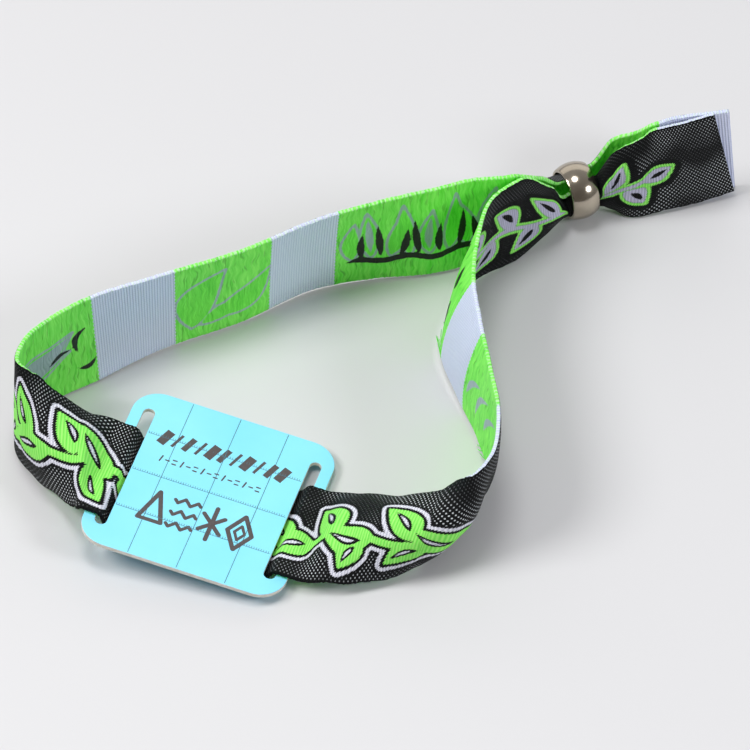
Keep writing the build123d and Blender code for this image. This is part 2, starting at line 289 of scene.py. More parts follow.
def between(first, second, first_slopes, second_slopes, gap, share):
    """The ring at a share of the way from one ring to the next."""
    middle, across, gather = [
        cubic(share, getattr(first, name), getattr(second, name), leave * gap, arrive * gap)
        for name, leave, arrive in zip(("middle", "across", "gather"), first_slopes, second_slopes)]
    s2 = share**2
    travel = ((second.middle - first.middle) * (6 * share - 6 * s2)
              + first_slopes[0] * ((3 * s2 - 4 * share + 1) * gap)
              + second_slopes[0] * ((3 * s2 - 2 * share) * gap))
    bow = cubic(share, first.bow, second.bow, 0.0, 0.0)
    return Ring(middle, unit(travel), unit(across), bow, gather)


def straight_fill(rings):
    """The same rings with more in between wherever they are farther apart than RING_STEP."""
    result = []
    for first, second in zip(rings, rings[1:]):
        steps = max(1, round(float(np.linalg.norm(second.middle - first.middle)) / RING_STEP))
        for step in range(steps):
            share = step / steps
            middle, travel, across = [a * (1 - share) + b * share for a, b in zip(first[:3], second[:3])]
            result.append(Ring(middle, unit(travel), unit(across), first.bow, first.gather))
    result.append(rings[-1])
    return result


def band_rings():
    """Every ring of the ribbon, from the front loose end to the back one."""
    mouth = BEAD_LENGTH / 2 + PACKED_REACH
    front_tail = spread([tail_ring_at(p) for p in FRONT_TAIL] + [bead_ring(mouth, -1)])
    front_strand = straight_fill([bead_ring(mouth, -1), bead_ring(-mouth, -1)])
    right_side = spread([bead_ring(-mouth, -1)] + [ring_at(p) for p in RIGHT_SIDE] + [margin_ring(1)])
    under = straight_fill([margin_ring(1)] + tag_crossing() + [margin_ring(-1)])
    back = spread([margin_ring(-1)] + [ring_at(p) for p in LEFT_AND_BACK] + [bead_ring(-mouth, 1)])
    back_strand = straight_fill([bead_ring(-mouth, 1), bead_ring(mouth, 1)])
    back_tail = spread([bead_ring(mouth, 1)] + [tail_ring_at(p) for p in BACK_TAIL])
    stretches = ((front_tail, 0, 0), (front_strand, 0, 1), (right_side, 1, 1), (under, 1, 2),
                 (back, 2, 2), (back_strand, 2, 3), (back_tail, 3, 3))
    rings, turns = [], []
    for stretch, first, last in stretches:
        kept = stretch[1:] if rings else stretch
        rings += kept
        turns += list(np.linspace(first, last, len(kept)))
    return rings, np.array(turns)


def smooth_through(keys, values, at):
    """Values of one smooth curve through a few given ones."""
    keys, values = np.asarray(keys), np.asarray(values)
    slopes = np.gradient(values, keys)
    i = np.clip(np.searchsorted(keys, at, side="right") - 1, 0, len(keys) - 2)
    gap = keys[i + 1] - keys[i]
    return cubic((at - keys[i]) / gap, values[i], values[i + 1], slopes[i] * gap, slopes[i + 1] * gap)


def middle_surface(rings, turns, shares):
    """Points of the cloth's middle, one row for each ring and one column for each share of its width."""
    middle = np.array([r.middle for r in rings])
    travel = np.array([r.travel for r in rings])
    across = np.array([r.across for r in rings])
    bow = np.array([r.bow for r in rings])[:, None] * BAND_WIDTH
    gather = np.array([r.gather for r in rings])[:, None]
    inward = np.cross(travel, across)
    inward /= np.linalg.norm(inward, axis=1)[:, None]
    ups, outs = [np.array([smooth_through(PLEAT_SHARES, [pleat[k] for pleat in table], shares)
                           for table in PLEATS]) for k in (0, 1)]
    table = np.clip(turns.astype(int), 0, len(PLEATS) - 2)
    part = (turns - table)[:, None]
    packed = ups[table] * (1 - part) + ups[table + 1] * part
    out = outs[table] * (1 - part) + outs[table + 1] * part - (SOLID_THICKNESS + STRAND_GAP) / 2
    shares = shares[None, :]
    chord = (BAND_WIDTH + np.sqrt(BAND_WIDTH**2 - 32 / 3 * bow**2)) / 2
    up = shares * chord / 2 * (1 - gather) + packed * gather
    rise = bow * (1 - shares**2) - out * gather * (1 + PLEAT_SWELL * (1 - gather))
    return middle[:, None, :] + across[:, None, :] * up[..., None] + inward[:, None, :] * rise[..., None]


def surface_normals(grid):
    along = np.gradient(grid, axis=0)
    across = np.gradient(grid, axis=1)
    normal = np.cross(along, across)
    return normal / np.linalg.norm(normal, axis=2)[..., None]


# Motifs on the cloth: leaves on a wavy stem. Along is measured from the front loose end, across from
# the ribbon's middle, angle from the direction of travel.
Leaf = namedtuple("Leaf", "along across angle length width curl")

FRONT_LEFT_LEAVES = (
    Leaf(174.0, -2.5, 150, 8.0, 5.0, 0.10),
    Leaf(175.0, -2.5, 52, 10.0, 5.6, -0.14),
    Leaf(179.0, -1.5, 238, 7.5, 5.0, 0.12),
    Leaf(182.0, -1.5, 70, 8.5, 5.4, 0.14),
    Leaf(185.5, -1.0, 338, 9.5, 5.6, 0.12),
    Leaf(189.0, 0.0, 60, 8.0, 5.0, -0.10),
    Leaf(193.0, -1.5, 8, 9.5, 5.2, 0.10),
    Leaf(195.0, -1.0, 290, 6.5, 4.4, -0.10),
)
FRONT_RIGHT_LEAVES = (
    Leaf(112.5, -2.5, 24, 10.5, 5.0, -0.10),
    Leaf(117.5, -3.0, 330, 8.0, 4.6, 0.10),
    Leaf(120.5, -1.5, 48, 8.5, 5.4, 0.12),
    Leaf(126.5, -2.5, 12, 9.5, 5.8, -0.14),
    Leaf(128.5, -3.0, 305, 5.8, 4.6, 0.10),
    Leaf(133.5, -2.0, 58, 8.5, 5.4, 0.10),
    Leaf(137.0, -2.5, 342, 8.5, 5.4, 0.12),
    Leaf(141.5, -1.5, 40, 9.0, 5.4, -0.10),
    Leaf(146.5, -2.5, 320, 7.0, 4.6, 0.10),
)
FRONT_END_LEAVES = (
    Leaf(21.5, -1.6, 118, 7.5, 4.2, 0.10),
    Leaf(17.5, -2.2, 232, 5.6, 3.8, -0.10),
    Leaf(15.0, -1.2, 160, 6.0, 3.6, 0.10),
)


def leaf_outline(leaf, size=1.0, start=0.0, steps=14):
    """A pointed leaf's outline, or a smaller one in it: size is its share of the leaf's width, start where
    on the leaf it begins."""
    turn = math.radians(leaf.angle)
    ahead, side = (math.cos(turn), math.sin(turn)), (-math.sin(turn), math.cos(turn))
    rest = 1 - 1.7 * start
    edge = []
    for direction in (1, -1):
        for i in range(steps):
            share = i / steps if direction == 1 else 1 - i / steps
            part = start + share * rest
            reach = leaf.length * part
            aside = direction * size * leaf.width / 2 * math.sin(math.pi * share**0.8)
            aside += leaf.curl * leaf.length * math.sin(math.pi * part)
            edge.append((leaf.along + ahead[0] * reach + side[0] * aside,
                         leaf.across + ahead[1] * reach + side[1] * aside))
    return np.array(edge)


STEM_STEP = 0.8
STEM_TAPER = 3.0


def stem_outline(start, end, across, swing, pitch, width):
    """A wavy stem's outline, which gets narrower towards both ends."""
    xs = np.arange(start, end + 0.01, STEM_STEP)
    middle = across + swing * np.sin((xs - start) / pitch * 2 * math.pi)
    half = width / 2 * np.minimum(1, np.minimum(xs - start, end - xs) / STEM_TAPER + 0.15)
    return np.concatenate([np.stack([xs, middle + half], 1), np.stack([xs, middle - half], 1)[::-1]])


SPRIG_PITCH = 4.4
SPRIG_END = 5.0


def sprig(start, end, across, turn=1):
    """A regular run of leaves, alternately up and down, that point ahead or, with turn -1, back."""
    leaves = []
    along = start
    up = True
    while along < end - SPRIG_END:
        angle = (48 if up else -50) if turn > 0 else (132 if up else 228)
        leaves.append(Leaf(along, across, angle, 8.2 if up else 7.2, 4.4, 0.12 if up else -0.12))
        along += SPRIG_PITCH
        up = not up
    return leaves


def signed_distance(points, polygon):
    """Distance in millimetres from each point to a closed outline, positive inside it."""
    start = polygon
    end = np.roll(polygon, -1, axis=0)
    edge = end - start
    square = np.maximum((edge**2).sum(1), 1e-12)
    offset = points[:, None, :] - start[None, :, :]
    share = np.clip((offset * edge).sum(2) / square, 0, 1)
    nearest = offset - edge[None, :, :] * share[..., None]
    distance = np.sqrt((nearest**2).sum(2)).min(1)
    crosses = (start[None, :, 1] > points[:, 1:2]) != (end[None, :, 1] > points[:, 1:2])
    rise = np.where(np.abs(edge[:, 1]) < 1e-12, 1e-12, edge[:, 1])
    at = start[None, :, 0] + (points[:, 1:2] - start[None, :, 1]) * (edge[:, 0] / rise)[None, :]
    inside = (crosses & (points[:, 0:1] < at)).sum(1) % 2 == 1
    return np.where(inside, distance, -distance)


# The fields reach this far outside an outline.
FAR = -4.0


def union(points, outlines):
    """Largest signed distance over several outlines, no lower than FAR."""
    field = np.full(len(points), FAR)
    for outline in outlines:
        low, high = outline.min(0) + FAR, outline.max(0) - FAR
        near = np.nonzero(((points > low) & (points < high)).all(1))[0]
        if len(near):
            field[near] = np.maximum(field[near], signed_distance(points[near], outline))
    return field


def block_outline(start, end):
    """A stretch of the ribbon, a little wider than it."""
    half = 0.55 * BAND_WIDTH
    return np.array([(start, -half), (end, -half), (end, half), (start, half)])


# The black leaf inside each outer leaf and the white one inside that: share of the width, and start
BLACK_CORE = (0.30, 0.22)
WHITE_CORE = (0.13, 0.30)


def outer_fields(points):
    """Fields of the outer face: leaf shapes, black marks, white marks and where the scheme is pale."""
    groups = (
        (FRONT_LEFT_LEAVES, (171, 200, -1.4, 0.9, 15, 1.5)),
        (FRONT_RIGHT_LEAVES, (111, 152, -2.2, 0.8, 17, 1.5)),
        (sprig(204, 232, -0.5), (203, 230, -0.5, 0.7, 14, 1.3)),
        (sprig(246, 288, -0.5, -1), (244, 286, -0.5, 0.7, 14, 1.3)),
        (sprig(66, 98, -1.0, -1), (64, 96, -1.0, 0.7, 14, 1.3)),
        (sprig(36, 60, -1.5), (33, 58, -1.5, 0.6, 12, 1.3)),
        (FRONT_END_LEAVES, (11, 24, -1.6, 0.7, 12, 1.4)),
        (sprig(296, 328, -0.5, -1), (294, 326, -0.5, 0.6, 12, 1.3)),
    )
    shapes, marks, gleams = [], [], []
    for leaves, stem in groups:
        shapes.append(stem_outline(*stem))
        for leaf in leaves:
            shapes.append(leaf_outline(leaf))
            marks.append(leaf_outline(leaf, *BLACK_CORE))
            gleams.append(leaf_outline(leaf, *WHITE_CORE))
    pale = union(points, [block_outline(-5, 62), block_outline(291, 345)])
    return union(points, shapes), union(points, marks), union(points, gleams), pale


WHITE_BLOCKS = ((71.0, 82.6), (215.8, 230.6), (248.0, 260.5), (-5.0, 11.5), (324.0, 345.0), (122.0, 136.0),
                (158.0, 172.0))
BLADE_PITCH = 3.3


def blades(start, end, foot, height):
    """Upright blades side by side on a foot line, each second one shorter."""
    return [Leaf(start + BLADE_PITCH * i, foot, 90 + 9 * math.sin(2.4 * i), height * (1.0 if i % 2 else 0.8),
                 3.4, 0.05 * math.cos(1.7 * i)) for i in range(int((end - start) / BLADE_PITCH))]


BROAD_GREY_LEAVES = (
    Leaf(198.0, -5.0, 22, 14.0, 5.0, 0.16),
    Leaf(199.0, 1.5, 12, 13.0, 4.2, -0.14),
    Leaf(196.5, -1.5, 84, 9.0, 4.0, 0.10),
)
OUTLINED_LEAVES = (
    Leaf(233.5, -7.0, 66, 15.0, 7.5, 0.14),
    Leaf(237.5, -5.5, 38, 13.5, 6.0, -0.14),
    Leaf(235.0, -6.5, 8, 10.0, 4.0, 0.14),
)
THIN_GREY_LEAVES = (
    Leaf(83.5, -4.5, 50, 9.5, 1.6, 0.18),
    Leaf(87.5, -5.5, 56, 12.0, 1.6, 0.16),
    Leaf(92.0, -4.5, 50, 9.5, 1.6, 0.18),
    Leaf(96.5, -5.0, 44, 7.0, 1.5, 0.16),
)
DARK_HOOKS = (
    Leaf(67.5, -6.0, 92, 6.5, 2.4, 0.05),
    Leaf(64.5, 0.0, 86, 7.0, 2.2, -0.05),
    Leaf(60.0, 2.5, 84, 5.0, 1.8, 0.04),
    Leaf(63.5, -9.0, 90, 5.0, 1.6, 0.04),
    Leaf(212.5, -1.5, 62, 6.5, 1.5, 0.34),
    Leaf(211.5, -4.5, 20, 5.0, 1.3, -0.34),
    Leaf(206.0, -1.0, 12, 6.0, 1.1, 0.16),
)


def inner_fields(points):
    """Fields of the inner face: leaf outlines, black marks, grey areas and the green blocks."""
    blocks = -union(points, [block_outline(a, b) for a, b in WHITE_BLOCKS])
    wedge = np.array([(96.5, 10.2), (103.0, 8.6), (110.0, 7.4), (118.0, 7.0), (118.0, 11.5), (96.5, 11.5)])
    blocks = np.minimum(blocks, -union(points, [wedge]))
    hem = blades(263.5, 291.0, -4.6, 12.5)
    groups = [hem, sprig(36, 62, -0.5), sprig(100, 118, -0.5), sprig(140, 156, -0.5), sprig(176, 192, -0.5)]
    shapes = [leaf_outline(leaf) for group in groups for leaf in group]
    shapes += [leaf_outline(leaf, 1.25) for leaf in BROAD_GREY_LEAVES]
    shapes += [leaf_outline(leaf) for leaf in OUTLINED_LEAVES]
    marks = [leaf_outline(leaf) for leaf in DARK_HOOKS]
    for leaf in hem:
        dark = leaf._replace(along=leaf.along + BLADE_PITCH / 2, length=leaf.length * 0.72, width=1.5)
        marks.append(leaf_outline(dark))
    marks.append(stem_outline(262.0, 292.5, -5.0, 0.5, 9.0, 1.5))
    grey = [leaf_outline(leaf) for leaf in BROAD_GREY_LEAVES + THIN_GREY_LEAVES]
    grey += [leaf_outline(leaf, 0.5, 0.1) for leaf in hem[1::3]]
    return union(points, shapes), union(points, marks), union(points, grey), blocks


# The cloth's lie: points of its middle, its inward normals and the distance along of each row
Cloth = namedtuple("Cloth", "points normals along")

# The three points round each edge: lift as a share of half the thickness, reach outwards from the last
# point of the face, and place across from that point for the pattern
EDGE_POINTS = ((0.8, 0.16, 0.20), (0.0, 0.24, 0.32), (-0.8, 0.16, 0.20))
EDGE_WOBBLE = (-0.12, 0.07)
ROUND_EDGE = len(EDGE_POINTS)


def link(obj):
    bpy.context.scene.collection.objects.link(obj)
    return obj


def piece(points, faces, smooth=True):
    """An object with a mesh of points in metres and faces."""
    mesh = bpy.data.meshes.new("piece")
    mesh.from_pydata(points, [], faces)
    mesh.polygons.foreach_set("use_smooth", np.full(len(mesh.polygons), smooth))
    return bpy.data.objects.new("piece", mesh)


def walls(rows, count, first=0, closed=False):
    """Faces between following rings of count points each; closed joins the last ring to the first one."""
    faces = []
    for row in range(rows if closed else rows - 1):
        here = first + row * count
        there = first + (row + 1) % rows * count
        for i in range(count):
            j = (i + 1) % count
            faces.append([here + i, here + j, there + j, there + i])
    return faces


def turn_outwards(mesh):
    """Makes the faces of a closed mesh look outwards."""
    work = bmesh.new()
    work.from_mesh(mesh)
    bmesh.ops.recalc_face_normals(work, faces=work.faces)
    work.to_mesh(mesh)
    work.free()


def build_band(shift):
    """The ribbon as one closed mesh with its length, width and motif fields on its points."""
    rings, turns = band_rings()
    middles = np.array([r.middle for r in rings])
    along = np.concatenate([[0.0], np.cumsum(np.linalg.norm(np.diff(middles, axis=0), axis=1))])
    outer_shares = np.linspace(-EDGE_SHARE, EDGE_SHARE, OUTER_CELLS + 1)
    inner_shares = np.linspace(-EDGE_SHARE, EDGE_SHARE, INNER_CELLS + 1)
    half = CLOTH_THICKNESS / 2
    outer_mid = middle_surface(rings, turns, outer_shares)
    inner_mid = middle_surface(rings, turns, inner_shares)
    outer = outer_mid - surface_normals(outer_mid) * half
    inner_normals = surface_normals(inner_mid)
    inner = inner_mid + inner_normals * half
    rough = random.Random(4)
    edges = []
    for end, step in ((0, 1), (-1, -2)):
        out = inner_mid[:, end] - inner_mid[:, step]
        out /= np.linalg.norm(out, axis=1)[:, None]
        wobble = np.array([rough.uniform(*EDGE_WOBBLE) for _ in rings])[:, None]
        edges.append([inner_mid[:, end] + out * (reach + wobble) + inner_normals[:, end] * (half * lift)
                      for lift, reach, _ in EDGE_POINTS])
    lower, upper = edges
    # The section runs up the inner face, over the upper edge, down the outer face and round the lower edge.
    columns = [inner[:, i] for i in range(INNER_CELLS + 1)] + upper
    columns += [outer[:, i] for i in range(OUTER_CELLS, -1, -1)] + lower[::-1]
    grid = np.stack(columns, axis=1)
    half_width = BAND_WIDTH / 2
    beyond = EDGE_SHARE * half_width + np.array([past for _, _, past in EDGE_POINTS])
    across = np.concatenate([inner_shares * half_width, beyond, outer_shares[::-1] * half_width, -beyond])
    count, width = grid.shape[:2]
    i = np.arange(count - 1)[:, None] * width
    j = np.arange(width)[None, :]
    k = (j + 1) % width
    quads = np.stack([i + j, i + width + j, i + width + k, i + k], axis=2).reshape(-1, 4)
    ends = end_cap(0, False) + end_cap((count - 1) * width, True)
    band = piece(((grid + shift) * MM).reshape(-1, 3).tolist(), quads.tolist() + ends)
    # The inner pattern covers the upper edge too, and the lower edge's last point.
    column = np.arange(width)
    on_inner = (column <= INNER_CELLS + ROUND_EDGE) | (column == width - 1)
    slots = np.where(on_inner & np.roll(on_inner, -1), 1, 0)
    slots = np.concatenate([np.tile(slots, count - 1), np.zeros(len(ends), int)])
    flat = np.stack([np.repeat(along, width), np.tile(across, count)], axis=1)
    on_inner = np.tile(on_inner, count)
    fields = np.zeros((4, len(flat)))
    fields[:, on_inner] = inner_fields(flat[on_inner])
    fields[:, ~on_inner] = outer_fields(flat[~on_inner])
    for name, values in zip(("along", "across", "shape", "mark", "gleam", "scheme"), (*flat.T, *fields)):
        layer = band.data.attributes.new(name, "FLOAT", "POINT")
        layer.data.foreach_set("value", np.asarray(values, np.float32))
    return band, slots, Cloth(inner_mid + shift, inner_normals, along)


def end_cap(first, flip):
    """Faces that close a cut end between its inner and outer rows."""
    top_start = first + INNER_CELLS + 1
    outer_start = top_start + ROUND_EDGE
    bottom_start = outer_start + OUTER_CELLS + 1
    inner, top = list(range(first, top_start)), list(range(top_start, outer_start))
    outer = list(range(outer_start, bottom_start))[::-1]
    bottom = list(range(bottom_start, bottom_start + ROUND_EDGE))
    faces = [[inner[-1], *top, outer[-1]], [outer[0], *bottom, inner[0]]]
    i = j = 0
    while i < INNER_CELLS or j < OUTER_CELLS:
        if j < OUTER_CELLS and (i >= INNER_CELLS or (j + 1) / OUTER_CELLS <= (i + 1) / INNER_CELLS):
            faces.append([inner[i], outer[j + 1], outer[j]])
            j += 1
        else:
            faces.append([inner[i], inner[i + 1], outer[j]])
            i += 1
    return [face[::-1] for face in faces] if flip else faces


# Materials: each plus, minus and times in a formula on values adds a math node.
def connect(value, socket):
    """Feeds a socket with a value, or sets it to a plain number or colour."""
    if isinstance(value, Value):
        socket.id_data.links.new(value.socket, socket)
    else:
        socket.default_value = value


def calc(operation, *values):
    """The result of a math node on values and numbers."""
    node = next(v for v in values if isinstance(v, Value)).beside("ShaderNodeMath")
    node.operation = operation
    for value, socket in zip(values, node.inputs):
        connect(value, socket)
    return Value(node.outputs[0])


class Value:
    """What a node gives out."""

    def __init__(self, socket):
        self.socket = socket

    def __add__(self, other):
        return calc("ADD", self, other)

    def __sub__(self, other):
        return calc("SUBTRACT", self, other)

    def __rsub__(self, other):
        return calc("SUBTRACT", other, self)

    def __mul__(self, other):
        return calc("MULTIPLY", self, other)

    def beside(self, kind):
        """A new node in the same tree."""
        return self.socket.id_data.nodes.new(kind)

    def mapped(self, low, high, to_low, to_high, way="LINEAR"):
        """The value taken from one range to another and held at its ends."""
        node = self.beside("ShaderNodeMapRange")
        node.interpolation_type = way
        names = ("Value", "From Min", "From Max", "To Min", "To Max")
        for name, value in zip(names, (self, low, high, to_low, to_high)):
            connect(value, node.inputs[name])
        return Value(node.outputs["Result"])

    def step(self, low, high):
        """0 below low, 1 above high and smooth between."""
        return self.mapped(low, high, 0.0, 1.0, "SMOOTHSTEP")

    def band(self, low, high, soft):
        """1 between low and high, with soft ends."""
        return self.step(low - soft, low + soft) - self.step(high - soft, high + soft)

    def wave(self, pitch):
        """Sine of a length over a pitch, from -1 to 1."""
        return calc("SINE", self * (2 * math.pi / pitch))


def mix(share, first, second):
    """A colour between two others."""
    node = share.beside("ShaderNodeMix")
    node.data_type = "RGBA"
    connect(share, node.inputs["Factor"])
    colours = [s for s in node.inputs if s.type == "RGBA"]
    connect(first, colours[0])
    connect(second, colours[1])
    return Value([s for s in node.outputs if s.type == "RGBA"][0])


def combine(x, y):
    node = x.beside("ShaderNodeCombineXYZ")
    connect(x, node.inputs[0])
    connect(y, node.inputs[1])
    return Value(node.outputs[0])


def noise(place, scale, detail=2.0, rough=0.5):
    node = place.beside("ShaderNodeTexNoise")
    for name, value in (("Vector", place), ("Scale", scale), ("Detail", detail), ("Roughness", rough)):
        connect(value, node.inputs[name])
    return Value(node.outputs["Fac"])


def srgb(red, green, blue):
    """Linear colour of a displayed 8-bit colour."""
    result = []
    for channel in (red, green, blue):
        value = channel / 255
        result.append(value / 12.92 if value <= 0.04045 else ((value + 0.055) / 1.055) ** 2.4)
    return (*result, 1.0)


class Look:
    """A material with one shader."""

    def __init__(self, name):
        self.material = bpy.data.materials.new(name)
        self.material.use_nodes = True
        self.nodes = self.material.node_tree.nodes
        self.nodes.clear()
        self.shader = self.nodes.new("ShaderNodeBsdfPrincipled")
        output = self.nodes.new("ShaderNodeOutputMaterial")
        connect(Value(self.shader.outputs[0]), output.inputs[0])

    def field(self, name):
        """One of the numbers on the mesh's points."""
        node = self.nodes.new("ShaderNodeAttribute")
        node.attribute_name = name
        return Value(node.outputs["Fac"])

    def place(self):
        """The point's place in the object."""
        return Value(self.nodes.new("ShaderNodeTexCoord").outputs["Object"])

    def set(self, name, value):
        connect(value, self.shader.inputs[name])

    def bump(self, height, distance, strength):
        """Small relief: distance is the millimetres that a height of 1 stands for."""
        node = self.nodes.new("ShaderNodeBump")
        connect(height, node.inputs["Height"])
        connect(distance * MM, node.inputs["Distance"])
        connect(strength, node.inputs["Strength"])
        self.set("Normal", Value(node.outputs[0]))


def mottled(name, grain, dark, light, rough, detail=2.0, contrast=(0.0, 1.0)):
    """A look of two close tones; rough is its roughness at the first and at the second."""
    look = Look(name)
    tone = noise(look.place(), grain, detail)
    look.set("Base Color", mix(tone.mapped(*contrast, 0.0, 1.0), srgb(*dark), srgb(*light)))
    look.set("Roughness", tone.mapped(0.3, 0.7, *rough))
    return look


# Pitches in the weave: of its threads, and of the white points on the outer face, which are pale weft
# painted bright as glints.
# The points end between two distances from the ribbon's middle.
THREAD = 0.48
POINTS_ALONG = 0.68
POINTS_ACROSS = 0.92
POINTS_END = (9.2, 9.8)


def outer_cloth():
    """Black ground with small white weave points that are partly painted glints, green shapes, a black line
    and a white one round them.
    """
    look = Look("cloth_outer")
    along, across = look.field("along"), look.field("across")
    place = combine(along, across)
    jitter = (along + across).wave(THREAD) * 0.09 + (noise(place, 1.1) * 0.20 - 0.10)
    shape = look.field("shape") + jitter
    mark = look.field("mark") + jitter * 0.6
    gleam = look.field("gleam") + jitter * 0.5
    pale = look.field("scheme").step(-0.1, 0.1)

    # White weft points painted bright as glints on the floats. The noise patches make them stronger in
    # places, standing partly for where light catches them.
    weft_glint_dots = (along.wave(POINTS_ALONG) * across.wave(POINTS_ACROSS)).step(0.42, 0.86)
    glint_patches = noise(place, 0.10, 1.0).mapped(0.40, 0.60, 0.10, 1.0)
    inside = 1.0 - calc("ABSOLUTE", across).step(*POINTS_END)
    off_shape = 1.0 - shape.step(-1.9, -1.4)
    near_bead = along.step(10.0, 24.0) * (1.0 - along.step(56.0, 78.0))
    points = weft_glint_dots * (glint_patches * inside) * off_shape * (1.0 - near_bead * 0.75)
    thread_tone = noise(place, 2.2)
    black = mix(thread_tone, srgb(2, 3, 4), srgb(14, 16, 18))
    ground = mix(points * 0.95, black, srgb(216, 222, 226))

    stitch = along.wave(THREAD) * 0.5 + 0.5
    streak = noise(combine(along * 2.6, across * 0.22), 1.0)
    lively = stitch * 0.48 + streak * 0.55
    green = mix(lively, srgb(84, 212, 60), srgb(176, 252, 128))
    white = mix(lively, srgb(176, 178, 196), srgb(244, 244, 254))
    lilac = mix(lively, srgb(146, 148, 170), srgb(210, 208, 232))

    bold = mix(shape.band(-1.15, -0.50, 0.07), ground, white)
    bold = mix(shape.step(0.0, 0.12), bold, green)
    bold = mix(mark.step(0.0, 0.12), bold, black)
    bold = mix(gleam.step(0.0, 0.12), bold, white)
    quiet = mix(shape.band(-0.45, 0.15, 0.08), ground, green)
    quiet = mix(shape.step(0.15, 0.27), quiet, lilac)
    quiet = mix(mark.step(0.0, 0.12), quiet, black)
    look.set("Base Color", mix(pale, bold, quiet))

    weave = along.wave(THREAD) * across.wave(THREAD)
    relief = weave + (along.wave(THREAD) - weave) * shape.step(-0.6, 0.1)
    look.bump(relief * 0.5 + noise(place, 7.0, 3.0) * 0.7, 0.10, 0.8)
    look.set("Roughness", thread_tone.mapped(0.3, 0.7, 0.50, 0.72))
    look.set("Specular IOR Level", 0.12)
    return look.material


def inner_cloth():
    """Green blocks of long floats with grey outlines, and finely ribbed white blocks between them."""
    look = Look("cloth_inner")
    along, across = look.field("along"), look.field("across")
    place = combine(along, across)
    drift = noise(place, 1.2) * 0.32 - 0.16
    shape = look.field("shape") + drift
    mark = look.field("mark") + drift
    grey_area = look.field("gleam") + drift
    block = (look.field("scheme") + across.wave(0.9) * 0.08).step(-0.06, 0.06)

    bent = noise(place, 0.35, 1.0) * 1.6 + along
    streak = noise(combine(bent * 2.0, across * 0.16), 1.0, 3.0, 0.6)
    gaps = noise(combine(bent * 1.7, across * 0.25), 1.0, 1.0).step(0.56, 0.72)
    lively = streak.mapped(0.25, 0.75, 0.0, 1.0)
    green = mix(lively, srgb(82, 222, 50), srgb(158, 255, 114))
    green = mix(gaps * 0.38, green, srgb(36, 140, 30))
    deeper = mix(lively, srgb(76, 212, 46), srgb(138, 252, 94))
    green = mix(shape.step(0.2, 0.5), green, deeper)
    grey = mix(streak, srgb(128, 146, 160), srgb(188, 198, 214))
    green = mix(grey_area.step(0.0, 0.3) * 0.95, green, grey)
    green = mix(shape.band(-0.30, 0.22, 0.10) * 0.90, green, grey)
    green = mix(mark.step(0.0, 0.15), green, srgb(20, 24, 22))

    rib = along.wave(THREAD)
    warp = across.wave(THREAD)
    white = mix(rib * 0.375 + warp * 0.125 + 0.5, srgb(196, 204, 234), srgb(226, 232, 254))
    colour = mix(block, white, green)
    uneven = along + (noise(place, 1.5) * 1.2 - 0.6)
    edge_threads = calc("ABSOLUTE", across).step(9.5, 9.8) * uneven.wave(THREAD * 1.5).step(-0.1, 0.7)
    look.set("Base Color", mix(edge_threads * 0.50, colour, srgb(214, 238, 212)))

    ribs = rib * 0.4 + warp * 0.15
    floats = streak * 1.5 - gaps * 0.8
    look.bump(ribs + (floats - ribs) * block, 0.12, 0.8)
    look.set("Roughness", streak.mapped(0.3, 0.7, 0.45, 0.65))
    look.set("Specular IOR Level", 0.3)
    return look.material


def put(obj, name, *materials):
    """Links a piece, names it, gives it its materials and makes it ride on the band's one body."""
    obj.name = name
    obj.data.name = name
    for material in materials:
        obj.data.materials.append(material)
    link(obj)
    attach(obj, "root")
    return obj


# The tables are in the ribbon's own frame; the bead shows where that lies in the part's.
low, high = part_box("bead_slider")
bead_middle = (np.array(low) + np.array(high)) / 2 / MM
SHIFT = bead_middle - bead_point(0)
SHIFT[2] = 0.0

ribbon, cloth_slots, cloth = build_band(SHIFT)
put(ribbon, "woven_ribbon", outer_cloth(), inner_cloth())
ribbon.data.polygons.foreach_set("material_index", cloth_slots.astype(np.int32))
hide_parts("woven_band")


# Loose threads: from and to along the ribbon, which edge (-1 lower, 1 upper), how many, the longest run
# beside the cloth, how far they stand off it and their radius.
Fray = namedtuple("Fray", "start end edge count run reach radius")

FRAYS = (
    Fray(58.0, 71.0, -1, 6, 9.0, 0.8, 0.15),
    Fray(52.0, 72.0, -1, 26, 5.0, 1.1, 0.075),
    Fray(84.0, 100.0, -1, 8, 1.6, 0.5, 0.075),
    Fray(34.0, 50.0, -1, 8, 2.5, 0.5, 0.075),
)
FLOOR_GAP = 0.1


def by_edge(along, edge, aside, lift):
    """A point by one edge of the cloth: aside of it outwards and lifted off the inner face."""
    i = min(int(np.searchsorted(cloth.along, along)), len(cloth.along) - 1)
    part = (along - cloth.along[i - 1]) / (cloth.along[i] - cloth.along[i - 1])
    side, step = (0, 1) if edge < 0 else (-1, -2)
    rim = cloth.points[i - 1:i + 1, side]
    out = rim - cloth.points[i - 1:i + 1, step]
    normal = cloth.normals[i - 1:i + 1, side]
    rim, out, normal = [a[0] * (1 - part) + a[1] * part for a in (rim, out, normal)]
    return rim + unit(out) * aside + unit(normal) * lift


def thread_tube(points, radius, sides=5):
    """Points and faces of a thin tube along a row of points."""
    rings = []
    for i, point in enumerate(points):
        travel = unit(points[min(i + 1, len(points) - 1)] - points[max(i - 1, 0)])
        first = unit(np.cross(travel, UP + np.array([0.1, 0.2, 0.0])))
        second = np.cross(travel, first)
        size = radius * (0.5 if i == len(points) - 1 else 1.0)
        for side in range(sides):
            turn = 2 * math.pi * side / sides
            rings.append(point + (first * math.cos(turn) + second * math.sin(turn)) * size)
    last = (len(points) - 1) * sides
    ends = [list(range(sides))[::-1], list(range(last, last + sides))]
    return rings, walls(len(points), sides) + ends


